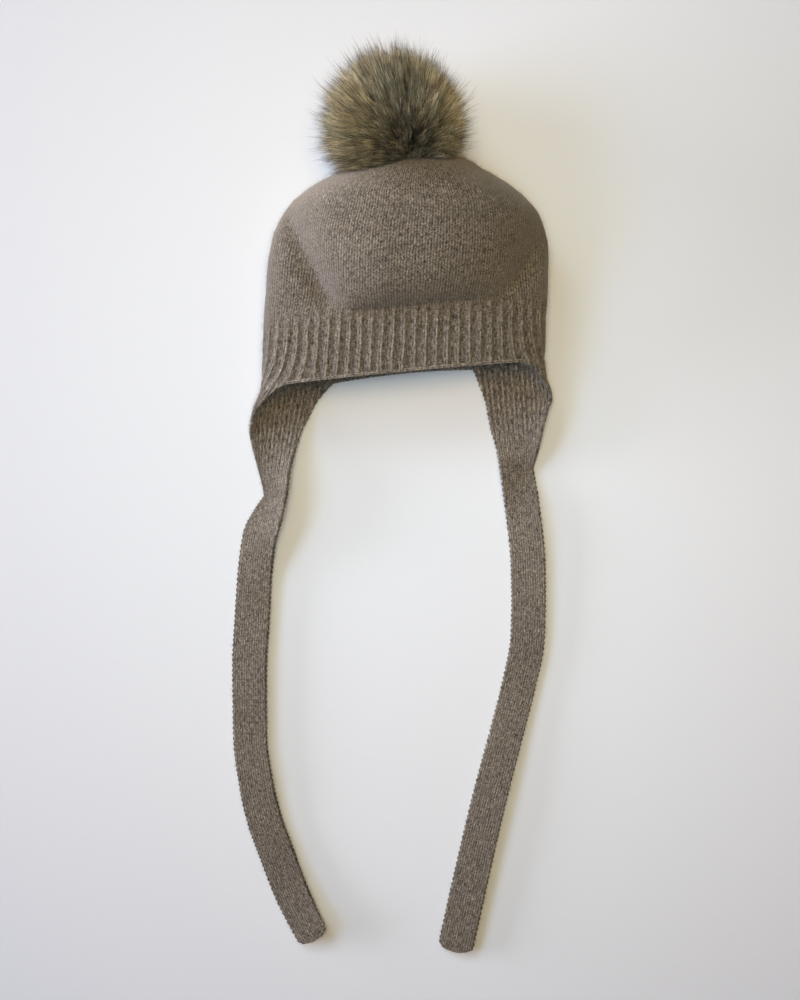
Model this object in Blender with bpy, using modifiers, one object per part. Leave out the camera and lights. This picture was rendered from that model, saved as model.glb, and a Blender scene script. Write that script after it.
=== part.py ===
"""A knitted child's bonnet lying on its back: puffed crown, ribbed brim, ear flaps, long ties, fur pompom.

Metres, +Z up. The bonnet's front faces up, its crown points to +Y and its ties lie towards -Y. Left and
right are as seen from above, left being -X. The origin is on the crown's flat underside, on the rest plane.
"""

import math

import bmesh
import bpy
import numpy as np
from mathutils import Vector

# Driving dimensions of the crown and the brim
HAT_WIDTH = 0.2000
CROWN_LENGTH = 0.1180
CROWN_HEIGHT = 0.0600
DOME_RISE = 0.0200
DOME_OVERHANG = 0.0030
BRIM_HEIGHT = 0.0420
SIDE_PLEAT_DEPTH = 0.0050
CROWN_WALL = 0.0026
BRIM_WALL = 0.0030
RIB_DEPTH = 0.0012

# How much the hem and the seam climb for each metre to the right, because the bonnet lies slightly askew
ASKEW = 0.095

# Driving dimensions of the ear flaps and the ties
FLAP_LENGTH = 0.0760
FLAP_FRONT_REACH = 0.0290
FLAP_BACK_REACH = 0.0560
FLAP_WALL = 0.0028
FLAP_RIB_DEPTH = 0.0007
TIE_LENGTH = 0.3500
TIE_WIDTH = 0.0228
TIE_WALL = 0.0026

# Driving dimensions of the pompom
POMPOM_RADIUS = 0.0505
POMPOM_CORE_SHARE = 0.80
POMPOM_STANDS_OFF = 0.0250
POMPOM_SET_LEFT = 0.0085
POMPOM_SLOPE = (0, 0.72, 0.69)
LOCK_REACH = 1.06
LOCK_PRESSED = 0.18

# Clearances between pieces, and between the pompom and the crown that it sits on
GAP = 0.0005
POMPOM_GAP = 0.0005

# Counts round the hat and along its pieces
FRONT_RIBS = 29
BACK_RIBS = 25
POINTS_PER_RIB = 3
CROWN_COLUMNS = (28, 22)
BRIM_ROWS = 4
FLAP_COLUMNS = 26
TIE_ROWS = 26
TIE_COLUMNS = 5
FINE_STEPS = 240

# The origin lies this share of the crown's length above the seam
ORIGIN_SHARE = 0.411

# Rings of the hat, from the hem (-1) by the seam (0) to the last ring before the gather (1). front and back
# are how far along the crown, or down the brim, the ring's upper and lower sides lie. top, fold and under
# are heights as shares of CROWN_HEIGHT; left and right are half widths as shares of half HAT_WIDTH.
RING_COLUMNS = ("at", "front", "back", "top", "fold", "under", "left", "right")
RINGS = (
    (-1.00, -1.000, -1.000, 0.655, 0.205, 0.000, 1.026, 0.985),
    (-0.50, -0.500, -0.500, 0.650, 0.235, 0.000, 1.012, 0.990),
    (0.00, 0.000, 0.000, 0.640, 0.265, 0.000, 1.004, 0.997),
    (0.14, 0.140, 0.140, 0.670, 0.285, 0.000, 0.991, 1.003),
    (0.30, 0.318, 0.318, 0.700, 0.305, 0.000, 0.970, 1.003),
    (0.42, 0.436, 0.453, 0.715, 0.320, 0.000, 0.940, 0.980),
    (0.52, 0.530, 0.565, 0.715, 0.335, 0.000, 0.887, 0.930),
    (0.62, 0.620, 0.675, 0.700, 0.350, 0.000, 0.795, 0.838),
    (0.71, 0.695, 0.780, 0.680, 0.360, 0.000, 0.640, 0.714),
    (0.80, 0.757, 0.880, 0.650, 0.360, 0.000, 0.450, 0.545),
    (0.88, 0.800, 0.960, 0.610, 0.355, 0.020, 0.310, 0.430),
    (0.95, 0.825, 1.000, 0.550, 0.345, 0.090, 0.210, 0.310),
    (1.00, 0.850, 0.975, 0.480, 0.370, 0.220, 0.120, 0.160),
)
GATHER_ALONG = 0.905
GATHER_HEIGHT = 0.360
FRONT_ROUNDNESS = 2.30
CORNER_SHARE = 1.25
CORNER_MOST = 0.80
OVERHANG_REACH = 0.20

# Where along the hat the crown's rings lie
CROWN_STATIONS = (0, 0.045, 0.09, 0.15, 0.23, 0.33, 0.43, 0.53, 0.62, 0.70, 0.77, 0.83, 0.885, 0.94, 1.0)

# The puffed front stands inside two slanting pleats. Each runs from its high end by the crown's shoulder to its
# low end on the seam: x as a share of half HAT_WIDTH, and the share of CROWN_LENGTH above the seam.
PLEATS = {
    "left": {"high": (-0.88, 0.615), "low": (-0.49, -0.035)},
    "right": {"high": (0.98, 0.480), "low": (0.66, 0.005)},
}
PLEAT_RISE_WIDTH = 0.0150
PLEAT_HOLLOW_WIDTH = 0.0090
SEAM_RISE_WIDTH = 0.0090

# The pleats' hollows deepen over the first share of the crown and end below its shoulder
HOLLOW_STARTS_OVER = 0.12
HOLLOW_ENDS_AT = 0.72
HOLLOW_ENDS_OVER = 0.15

# Ear flaps, from the hem (0) to the tie (1). outward is how far the fold has moved out, as a share of
# FLAP_LENGTH; front and back are the reaches of the folded-over part and of the part on the rest plane;
# height scales the fold, and lift raises the nape edge, as a share of FLAP_LENGTH.
FLAP_COLUMNS_NAMED = ("down", "outward", "front", "back", "height", "lift")
FLAPS = {
    "left": (
        (0.00, 0.000, 1.000, 1.000, 1.00, 0.000),
        (0.03, 0.004, 0.860, 0.975, 1.00, 0.000),
        (0.08, 0.026, 0.620, 0.930, 0.92, 0.000),
        (0.18, 0.075, 0.330, 0.880, 0.76, 0.004),
        (0.30, 0.110, 0.130, 0.840, 0.52, 0.013),
        (0.40, 0.126, 0.015, 0.790, 0.34, 0.030),
        (0.55, 0.100, 0.010, 0.690, 0.22, 0.070),
        (0.70, 0.062, 0.010, 0.590, 0.18, 0.120),
        (0.86, 0.020, 0.010, 0.500, 0.14, 0.160),
        (1.00, -0.012, 0.010, 0.440, 0.12, 0.165),
    ),
    "right": (
        (0.00, 0.000, 1.000, 1.000, 1.00, 0.000),
        (0.03, 0.002, 0.850, 0.980, 1.00, 0.000),
        (0.08, 0.012, 0.600, 0.965, 0.90, 0.000),
        (0.18, 0.032, 0.290, 0.950, 0.72, 0.003),
        (0.28, 0.066, 0.100, 0.940, 0.46, 0.008),
        (0.36, 0.078, 0.015, 0.925, 0.32, 0.014),
        (0.47, 0.040, 0.010, 0.850, 0.22, 0.022),
        (0.60, 0.004, 0.010, 0.770, 0.17, 0.034),
        (0.80, -0.037, 0.010, 0.640, 0.14, 0.045),
        (1.00, -0.085, 0.010, 0.545, 0.12, 0.050),
    ),
}

# Where down each flap its rows lie
FLAP_STATIONS = (0, 0.025, 0.07, 0.13, 0.20, 0.27, 0.34, 0.42, 0.52, 0.63, 0.75, 0.88, 1.0)

# Ties, from the flap (0) to the free end (1): the centre line's place across and down from the flap's end, and
# the heights of the left and right edges, all as shares of TIE_LENGTH, and the width as a share of TIE_WIDTH.
TIE_COLUMNS_NAMED = ("at", "across", "down", "left_lift", "right_lift", "width")
TIES = {
    "left": (
        (0.00, 0.0000, 0.0000, 0.0040, 0.0360, 0.80),
        (0.06, -0.0150, 0.0430, 0.0020, 0.0330, 0.92),
        (0.12, -0.0320, 0.0860, 0.0000, 0.0240, 1.02),
        (0.20, -0.0440, 0.1650, 0.0000, 0.0100, 1.01),
        (0.28, -0.0490, 0.2460, 0.0000, 0.0040, 1.03),
        (0.40, -0.0550, 0.3590, 0.0000, 0.0020, 1.01),
        (0.53, -0.0540, 0.4900, 0.0020, 0.0030, 0.98),
        (0.64, -0.0410, 0.5950, 0.0010, 0.0060, 1.00),
        (0.72, -0.0240, 0.6680, 0.0000, 0.0050, 1.02),
        (0.81, 0.0010, 0.7370, 0.0000, 0.0060, 1.02),
        (0.90, 0.0320, 0.8170, 0.0000, 0.0090, 1.01),
        (1.00, 0.0770, 0.9060, 0.0060, 0.0180, 0.92),
    ),
    "right": (
        (0.00, 0.0000, 0.0000, 0.0080, 0.0120, 1.00),
        (0.08, 0.0110, 0.0810, 0.0020, 0.0110, 0.98),
        (0.18, 0.0225, 0.1900, 0.0000, 0.0090, 0.98),
        (0.27, 0.0240, 0.2680, 0.0000, 0.0070, 0.97),
        (0.35, 0.0220, 0.3470, 0.0000, 0.0060, 0.97),
        (0.45, 0.0040, 0.4440, 0.0000, 0.0040, 0.96),
        (0.55, -0.0200, 0.5380, 0.0000, 0.0060, 0.95),
        (0.70, -0.0580, 0.6830, 0.0000, 0.0090, 0.97),
        (0.85, -0.0930, 0.8340, 0.0000, 0.0080, 0.99),
        (1.00, -0.1270, 0.9860, 0.0020, 0.0070, 1.00),
    ),
}
TIE_SQUARE_SHARE = 0.10

# Finishes: base colour, roughness
KNIT = ((0.215, 0.180, 0.140), 0.95)
FUR = ((0.200, 0.165, 0.100), 0.85)


def smooth(at, knots, values):
    """A cubic through a table's rows that never swings past them."""
    at = np.asarray(at, float)
    knots = np.asarray(knots, float)
    values = np.asarray(values, float)
    steps = np.diff(knots)
    rises = np.diff(values) / steps
    before, after = rises[:-1], rises[1:]
    total = np.where(np.abs(before + after) < 1e-12, 1.0, before + after)
    slopes = np.concatenate(
        ([rises[0]], np.where(before * after > 0, 2 * before * after / total, 0.0), [rises[-1]])
    )
    row = np.clip(np.searchsorted(knots, at, side="right") - 1, 0, len(steps) - 1)
    t = (at - knots[row]) / steps[row]
    return (
        values[row] * (1 + 2 * t) * (1 - t) ** 2
        + values[row + 1] * t**2 * (3 - 2 * t)
        + steps[row] * slopes[row] * t * (1 - t) ** 2
        + steps[row] * slopes[row + 1] * t**2 * (t - 1)
    )


def read(table, names, at):
    """Each named column of a table, at places between its rows."""
    rows = np.array(table)
    return {name: smooth(at, rows[:, 0], rows[:, i]) for i, name in enumerate(names)}


def along(share):
    """Y of a share of the crown's length above the seam, or of the brim's height below it."""
    length = CROWN_LENGTH if share >= 0 else BRIM_HEIGHT
    return share * length - ORIGIN_SHARE * CROWN_LENGTH


def askew(x, y):
    """How far a point is shifted along Y because the bonnet lies askew; it fades out towards the gather."""
    above_seam = np.clip((y - along(0)) / CROWN_LENGTH, 0, 1)
    return ASKEW * x * (1 - above_seam) ** 2


def inside_pleat(side, x, y):
    """Distance of points from a pleat's line, positive towards the middle of the crown."""
    high, low = (
        np.array((end[0] * HAT_WIDTH / 2, along(0) + end[1] * CROWN_LENGTH))
        for end in (PLEATS[side]["high"], PLEATS[side]["low"])
    )
    line = (high - low) / np.linalg.norm(high - low)
    distance = (x - low[0]) * line[1] - (y - low[1]) * line[0]
    return distance if side == "left" else -distance


def rise(distance, width):
    """0 outside an edge, then a steep start that levels out."""
    return 1 - np.exp(-np.clip(distance, 0, None) / width)


def dome_share(x, y):
    """How much of DOME_RISE the front has at a place, 0 to 1."""
    from_seam = y - along(0) - ASKEW * x
    share = rise(from_seam, SEAM_RISE_WIDTH)
    for side in PLEATS:
        share = share * rise(inside_pleat(side, x, y), PLEAT_RISE_WIDTH)
    return share


def pleat_hollow(x, y):
    """Depth of the hollow beside each pleat."""
    depth = 0
    for side in PLEATS:
        distance = inside_pleat(side, x, y) / PLEAT_HOLLOW_WIDTH
        depth = depth + np.exp(-(distance**2))
    from_seam = np.clip((y - along(0) - ASKEW * x) / (HOLLOW_STARTS_OVER * CROWN_LENGTH), 0, 1)
    to_shoulder = np.clip((along(HOLLOW_ENDS_AT) - y) / (HOLLOW_ENDS_OVER * CROWN_LENGTH), 0, 1)
    return SIDE_PLEAT_DEPTH * depth * from_seam * to_shoulder


def evenly(points, count):
    """count + 1 points along a line of points, evenly spaced by length."""
    lengths = np.linalg.norm(np.diff(points, axis=0), axis=1)
    walked = np.concatenate(([0], np.cumsum(lengths)))
    places = np.linspace(0, walked[-1], count + 1)
    return np.stack([np.interp(places, walked, points[:, i]) for i in range(3)], axis=1)


def half_rings(at):
    """The front half ring, from the right fold to the left one, and the back half ring, on round to the right."""
    row = read(RINGS, RING_COLUMNS, at)
    half_width = HAT_WIDTH / 2
    left, right = -row["left"] * half_width, row["right"] * half_width
    middle, half = (left + right) / 2, (right - left) / 2
    top, fold, under = (row[name] * CROWN_HEIGHT for name in ("top", "fold", "under"))
    front_y, back_y = along(row["front"]), along(row["back"])

    angle = np.linspace(0, math.pi, FINE_STEPS)
    power = 2 / FRONT_ROUNDNESS
    x = middle + half * np.sign(np.cos(angle)) * np.abs(np.cos(angle)) ** power
    y = front_y + askew(x, front_y)
    share = dome_share(x, y)
    crest = top + DOME_RISE * share - pleat_hollow(x, y)
    z = fold + (crest - fold) * np.abs(np.sin(angle)) ** power
    lean = (z - under) / (top + DOME_RISE - under)
    near_seam = np.exp(-(((y - along(0)) / (OVERHANG_REACH * CROWN_LENGTH)) ** 2))
    overhang = 4 * DOME_OVERHANG * share * (1 - share) * near_seam
    y = back_y + (front_y - back_y) * lean + askew(x, front_y) - overhang * np.sin(angle)
    front = np.stack((x, y, z), axis=1)

    corner = min(CORNER_SHARE * fold, CORNER_MOST * half)
    turn = np.linspace(0, math.pi / 2, FINE_STEPS // 4)
    left_x = left + corner * (1 - np.cos(turn))
    right_x = (right - corner * (1 - np.cos(turn)))[::-1]
    flat_x = np.linspace(left_x[-1], right_x[0], FINE_STEPS // 2)[1:-1]
    drop = under + (fold - under) * (1 - np.sin(turn))
    x = np.concatenate((left_x, flat_x, right_x))
    z = np.concatenate((drop, np.full(len(flat_x), under), drop[::-1]))
    y = back_y + (front_y - back_y) * (z - under) / (top + DOME_RISE - under) + askew(x, front_y)
    return front, np.stack((x, y, z), axis=1)


def ring(at, front_count, back_count):
    """Points round the hat, evenly spaced over its front and over its back."""
    front, back = half_rings(at)
    return np.concatenate((evenly(front, front_count)[:-1], evenly(back, back_count)[:-1]))


def inward_in_ring(points):
    """Unit vectors in the ring's own plane, pointing into the hat."""
    tangent = np.roll(points, -1, axis=0) - np.roll(points, 1, axis=0)
    normal = np.stack((-tangent[:, 2], np.zeros(len(points)), tangent[:, 0]), axis=1)
    return normal / np.linalg.norm(normal, axis=1, keepdims=True)


def material(name, finish):
    colour, roughness = finish
    made = bpy.data.materials.new(name)
    made.use_nodes = True
    shader = made.node_tree.nodes["Principled BSDF"]
    shader.inputs["Base Color"].default_value = (*colour, 1)
    shader.inputs["Roughness"].default_value = roughness
    shader.inputs["Metallic"].default_value = 0
    made.diffuse_color = (*colour, 1)
    return made


def add_object(name, mesh, finish, collection):
    mesh.materials.append(material(name, finish))
    made = bpy.data.objects.new(name, mesh)
    collection.objects.link(made)
    mesh.shade_smooth()
    return made


def grid_mesh(name, grid, closed_round=False, end_point=None):
    """A mesh on rows of points. Rows may close round, and an end point gathers the last row."""
    rows, columns = grid.shape[:2]
    shape = bmesh.new()
    points = [[shape.verts.new(point) for point in row] for row in grid]
    around = range(columns if closed_round else columns - 1)
    for i in range(rows - 1):
        for j in around:
            k = (j + 1) % columns
            shape.faces.new((points[i][j], points[i + 1][j], points[i + 1][k], points[i][k]))
    if end_point is not None:
        tip = shape.verts.new(end_point)
        for j in around:
            shape.faces.new((points[-1][j], tip, points[-1][(j + 1) % columns]))
    mesh = bpy.data.meshes.new(name)
    shape.to_mesh(mesh)
    shape.free()
    return mesh


def thicken(obj, wall):
    """Gives an open surface its wall, on the side away from its normals."""
    solidify = obj.modifiers.new("wall", "SOLIDIFY")
    solidify.thickness = wall
    solidify.offset = -1
    solidify.use_even_offset = False
    return obj


def crown_grid(first_ring_gap):
    """The crown's rings and the point where they gather."""
    grid = np.array([ring(at, *CROWN_COLUMNS) for at in CROWN_STATIONS])
    grid[0, :, 1] += first_ring_gap
    gather = (0, along(GATHER_ALONG), GATHER_HEIGHT * CROWN_HEIGHT)
    return grid, gather


def make_crown(collection):
    grid, gather = crown_grid(GAP / 2)
    mesh = grid_mesh("crown", grid, closed_round=True, end_point=gather)
    return thicken(add_object("crown", mesh, KNIT, collection), CROWN_WALL)


def make_brim(collection):
    grid = []
    for at in np.linspace(-1, 0, BRIM_ROWS + 1):
        points = ring(at, FRONT_RIBS * POINTS_PER_RIB, BACK_RIBS * POINTS_PER_RIB)
        valley = (np.arange(len(points)) % POINTS_PER_RIB > 0)[:, None]
        grid.append(points + RIB_DEPTH * valley * inward_in_ring(points))
    grid = np.array(grid)
    grid[0, :, 1] += GAP / 2
    grid[-1, :, 1] -= GAP / 2
    mesh = grid_mesh("ribbed_brim", grid, closed_round=True)
    return thicken(add_object("ribbed_brim", mesh, KNIT, collection), BRIM_WALL)


def hem_profile(side):
    """The hem ring either side of the fold: length from the fold, distance inwards and height."""
    front, back = half_rings(-1)
    upper, lower = (front, back[::-1]) if side == "right" else (front[::-1], back)
    inwards = -1 if side == "right" else 1
    parts = []
    for sign, part in ((-1, upper), (1, lower)):
        lengths = np.linalg.norm(np.diff(part[:, [0, 2]], axis=0), axis=1)
        walked = sign * np.concatenate(([0], np.cumsum(lengths)))
        parts.append(np.stack((walked, inwards * (part[:, 0] - part[0, 0]), part[:, 2]), axis=1))
    return np.concatenate((parts[0][:0:-1], parts[1])), part[0, 0], inwards


def flap_grid(side):
    """Rows of the flap's outer face, from the hem to the tie, each from the front edge round to the nape edge."""
    profile, fold_x, inwards = hem_profile(side)
    hem_y = along(-1) + askew(fold_x, along(-1))
    grid = []
    for share in FLAP_STATIONS:
        row = read(FLAPS[side], FLAP_COLUMNS_NAMED, share)
        first = -row["front"] * FLAP_FRONT_REACH
        last = row["back"] * FLAP_BACK_REACH
        walked = np.linspace(first, last, FLAP_COLUMNS + 1)
        inward = np.interp(walked, profile[:, 0], profile[:, 1])
        height = np.interp(walked, profile[:, 0], profile[:, 2]) * row["height"]
        on_plane = np.clip(walked / FLAP_BACK_REACH / row["back"], 0, 1)
        height = height + row["lift"] * FLAP_LENGTH * on_plane**2
        valley = np.arange(FLAP_COLUMNS + 1) % 2 * FLAP_RIB_DEPTH * (walked > 0) * (1 - share)
        x = fold_x + inwards * (inward - row["outward"] * FLAP_LENGTH)
        y = hem_y - FLAP_LENGTH * share + ASKEW * (x - fold_x) * (1 - share)
        grid.append(np.stack((x, y, height + valley), axis=1))
    grid = np.array(grid)
    grid[0, :, 1] -= GAP / 2
    return grid if side == "left" else grid[:, ::-1]


def make_flap(side, collection):
    name = "ear_flap_" + side
    grid = flap_grid(side)[::-1]
    grid[0, :, 1] += GAP / 2
    return thicken(add_object(name, grid_mesh(name, grid), KNIT, collection), FLAP_WALL)


def tie_grid(side):
    """Rows of the tie's underside, from the flap to the free end, each from its left edge to its right edge."""
    flap_end = flap_grid(side)[-1]
    start = (flap_end[0] + flap_end[-1]) / 2
    fine = np.linspace(0, 1, FINE_STEPS)
    path = read(TIES[side], TIE_COLUMNS_NAMED, fine)
    x = start[0] + path["across"] * TIE_LENGTH
    y = start[1] - path["down"] * TIE_LENGTH
    heading = np.unwrap(np.arctan2(np.gradient(y), np.gradient(x)))
    square = np.clip(fine / TIE_SQUARE_SHARE, 0, 1)
    heading = -math.pi / 2 + (heading + math.pi / 2) * square
    rows = []
    for share in np.linspace(0, 1, TIE_ROWS + 1):
        at = {name: np.interp(share, fine, values) for name, values in path.items()}
        angle = np.interp(share, fine, heading) + math.pi / 2
        over = np.linspace(0, 1, TIE_COLUMNS + 1)
        lift = at["left_lift"] + (at["right_lift"] - at["left_lift"]) * over
        offset = (over - 0.5) * at["width"] * TIE_WIDTH
        centre_x, centre_y = (np.interp(share, fine, line) for line in (x, y))
        row = (centre_x + offset * math.cos(angle), centre_y + offset * math.sin(angle), lift * TIE_LENGTH)
        rows.append(np.stack(row, axis=1))
    return np.array(rows)


def make_tie(side, collection):
    name = "tie_" + side
    grid = tie_grid(side)
    grid[0, :, 1] -= GAP
    return thicken(add_object(name, grid_mesh(name, grid[::-1]), KNIT, collection), TIE_WALL)


def lock_length(direction):
    """Fur is longest away from the gather and short where it is pressed against the crown."""
    towards_crown = max(0.0, -direction.y)
    return POMPOM_RADIUS * (LOCK_REACH - LOCK_PRESSED * towards_crown)


def pompom_centre():
    """The pompom stands off the gather, along the slope of the crown's end."""
    slope = Vector(POMPOM_SLOPE).normalized()
    gather = Vector((0, along(GATHER_ALONG), GATHER_HEIGHT * CROWN_HEIGHT))
    return gather + slope * POMPOM_STANDS_OFF + Vector((-POMPOM_SET_LEFT, 0, 0))


def make_crown_cutter(collection):
    """The crown's outer form, closed at the seam and swollen by the pompom's gap."""
    grid, gather = crown_grid(0)
    shape = bmesh.new()
    shape.from_mesh(grid_mesh("crown_form", grid, closed_round=True, end_point=gather))
    bmesh.ops.holes_fill(shape, edges=[edge for edge in shape.edges if edge.is_boundary])
    bmesh.ops.triangulate(shape, faces=shape.faces[:])
    shape.normal_update()
    for vertex in shape.verts:
        vertex.co += vertex.normal * POMPOM_GAP
    mesh = bpy.data.meshes.new("crown_form")
    shape.to_mesh(mesh)
    shape.free()
    made = bpy.data.objects.new("crown_form", mesh)
    collection.objects.link(made)
    made.display_type = "WIRE"
    made.hide_render = True
    return made


def make_pompom(collection, cutter):
    """A core whose every face is drawn out into a lock of fur, cut to the crown that it sits on."""
    centre = pompom_centre()
    shape = bmesh.new()
    bmesh.ops.create_icosphere(shape, subdivisions=3, radius=POMPOM_CORE_SHARE)
    tips = bmesh.ops.poke(shape, faces=shape.faces[:])["verts"]
    for vertex in tips:
        vertex.co.normalize()
    for vertex in shape.verts:
        reach = vertex.co.length
        direction = vertex.co.normalized()
        vertex.co = centre + direction * reach * lock_length(direction)
        vertex.co.z = max(vertex.co.z, 0)
    mesh = bpy.data.meshes.new("pompom")
    shape.to_mesh(mesh)
    shape.free()
    made = add_object("pompom", mesh, FUR, collection)
    cut = made.modifiers.new("seat on the crown", "BOOLEAN")
    cut.operation = "DIFFERENCE"
    cut.object = cutter
    return made


def main():
    for obj in list(bpy.data.objects):
        bpy.data.objects.remove(obj)
    bonnet = bpy.data.collections.new("knit_bonnet")
    cutters = bpy.data.collections.new("cutters")
    for collection in (bonnet, cutters):
        bpy.context.scene.collection.children.link(collection)
    make_crown(bonnet)
    make_brim(bonnet)
    for side in ("left", "right"):
        make_flap(side, bonnet)
        make_tie(side, bonnet)
    make_pompom(bonnet, make_crown_cutter(cutters))


main()
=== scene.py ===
"""The looks of a knitted child's bonnet lying on its back: brushed wool, plain and ribbed, and fur."""

from math import cos, pi, radians, sin

import bmesh
import bpy
import numpy as np
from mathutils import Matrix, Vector
from mathutils.bvhtree import BVHTree


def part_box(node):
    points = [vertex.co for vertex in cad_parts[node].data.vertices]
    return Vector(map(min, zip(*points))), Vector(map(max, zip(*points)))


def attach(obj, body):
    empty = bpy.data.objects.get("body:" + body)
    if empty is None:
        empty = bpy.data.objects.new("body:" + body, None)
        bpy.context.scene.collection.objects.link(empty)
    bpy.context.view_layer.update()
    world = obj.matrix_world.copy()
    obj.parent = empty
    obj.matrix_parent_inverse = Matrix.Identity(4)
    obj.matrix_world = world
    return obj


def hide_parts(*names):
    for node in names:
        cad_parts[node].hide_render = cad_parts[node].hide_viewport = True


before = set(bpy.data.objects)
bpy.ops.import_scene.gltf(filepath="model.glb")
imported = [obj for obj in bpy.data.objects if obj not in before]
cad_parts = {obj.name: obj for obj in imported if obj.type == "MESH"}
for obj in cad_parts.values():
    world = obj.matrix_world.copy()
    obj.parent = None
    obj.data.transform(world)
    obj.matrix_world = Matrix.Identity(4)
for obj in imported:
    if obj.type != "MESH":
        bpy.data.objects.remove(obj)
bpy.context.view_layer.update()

# The photograph's camera: straight down, at its height over the rest plane
CAMERA_PLACE = (-0.004, -0.180, 0.750)
FRAME_HALF_HEIGHT = 0.36
SENSOR = 24
FLOOR_SIZE = 9

# Sizes that the source of the solids also names; only the front's overhang is less here
HAT_WIDTH = 0.2
CROWN_LENGTH = 0.118
CROWN_HEIGHT = 0.06
DOME_RISE = 0.02
DOME_OVERHANG = 0.0018
BRIM_HEIGHT = 0.042
SIDE_PLEAT_DEPTH = 0.005
CROWN_WALL = 0.0026
BRIM_WALL = 0.003
ASKEW = 0.095
FLAP_LENGTH = 0.076
FLAP_FRONT_REACH = 0.029
FLAP_BACK_REACH = 0.056
FLAP_WALL = 0.0028
TIE_LENGTH = 0.35
TIE_WIDTH = 0.0228
TIE_WALL = 0.0026
POMPOM_RADIUS = 0.0505
POMPOM_STANDS_OFF = 0.025
POMPOM_SET_LEFT = 0.0085
POMPOM_SLOPE = (0, 0.72, 0.69)
FRONT_RIBS = 29
BACK_RIBS = 25
ORIGIN_SHARE = 0.411

# Rings of the hat, as in the source of the solids, from the hem by the seam to the gathered end
RINGS = {
    "at": (-1, -0.5, 0, 0.14, 0.3, 0.42, 0.52, 0.62, 0.71, 0.8, 0.88, 0.95, 1),
    "front": (-1, -0.5, 0, 0.14, 0.318, 0.436, 0.53, 0.62, 0.695, 0.757, 0.8, 0.825, 0.85),
    "back": (-1, -0.5, 0, 0.14, 0.318, 0.453, 0.565, 0.675, 0.78, 0.88, 0.96, 1, 0.975),
    "top": (0.655, 0.65, 0.64, 0.67, 0.7, 0.715, 0.715, 0.7, 0.68, 0.65, 0.61, 0.55, 0.48),
    "fold": (0.205, 0.235, 0.265, 0.285, 0.305, 0.32, 0.335, 0.35, 0.36, 0.36, 0.355, 0.345, 0.37),
    "under": (0, 0, 0, 0, 0, 0, 0, 0, 0, 0, 0.02, 0.09, 0.22),
    "left": (1.026, 1.012, 1.004, 0.991, 0.97, 0.94, 0.887, 0.795, 0.64, 0.45, 0.31, 0.21, 0.12),
    "right": (0.985, 0.99, 0.997, 1.003, 1.003, 0.98, 0.93, 0.838, 0.714, 0.545, 0.43, 0.31, 0.16),
}
GATHER_ALONG = 0.905
GATHER_HEIGHT = 0.36
FRONT_ROUNDNESS = 2.3
CORNER_SHARE = 1.25
CORNER_MOST = 0.8
OVERHANG_REACH = 0.2
PLEATS = {
    "left": ((-0.88, 0.615), (-0.49, -0.035)),
    "right": ((0.98, 0.480), (0.66, 0.005)),
}
PLEAT_RISE_WIDTH = 0.015
PLEAT_HOLLOW_WIDTH = 0.009
SEAM_RISE_WIDTH = 0.009
HOLLOW_STARTS_OVER = 0.12
HOLLOW_ENDS_AT = 0.72
HOLLOW_ENDS_OVER = 0.15

# Only here: how softly the seam's rise and the pleats begin
EDGE_EASE = 0.0022

# Ear flaps and ties, as in the source of the solids, but the left tie tilts more here
FLAPS = {
    "left": {
        "at": (0, 0.03, 0.08, 0.18, 0.3, 0.4, 0.55, 0.7, 0.86, 1),
        "outward": (0, 0.004, 0.026, 0.075, 0.11, 0.126, 0.1, 0.062, 0.02, -0.012),
        "front": (1, 0.86, 0.62, 0.33, 0.13, 0.015, 0.01, 0.01, 0.01, 0.01),
        "back": (1, 0.975, 0.93, 0.88, 0.84, 0.79, 0.69, 0.59, 0.5, 0.44),
        "height": (1, 1, 0.92, 0.76, 0.52, 0.34, 0.22, 0.18, 0.14, 0.12),
        "lift": (0, 0, 0, 0.004, 0.013, 0.03, 0.07, 0.12, 0.16, 0.165),
    },
    "right": {
        "at": (0, 0.03, 0.08, 0.18, 0.28, 0.36, 0.47, 0.6, 0.8, 1),
        "outward": (0, 0.002, 0.012, 0.032, 0.066, 0.078, 0.04, 0.004, -0.037, -0.085),
        "front": (1, 0.85, 0.6, 0.29, 0.1, 0.015, 0.01, 0.01, 0.01, 0.01),
        "back": (1, 0.98, 0.965, 0.95, 0.94, 0.925, 0.85, 0.77, 0.64, 0.545),
        "height": (1, 1, 0.9, 0.72, 0.46, 0.32, 0.22, 0.17, 0.14, 0.12),
        "lift": (0, 0, 0, 0.003, 0.008, 0.014, 0.022, 0.034, 0.045, 0.05),
    },
}
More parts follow.
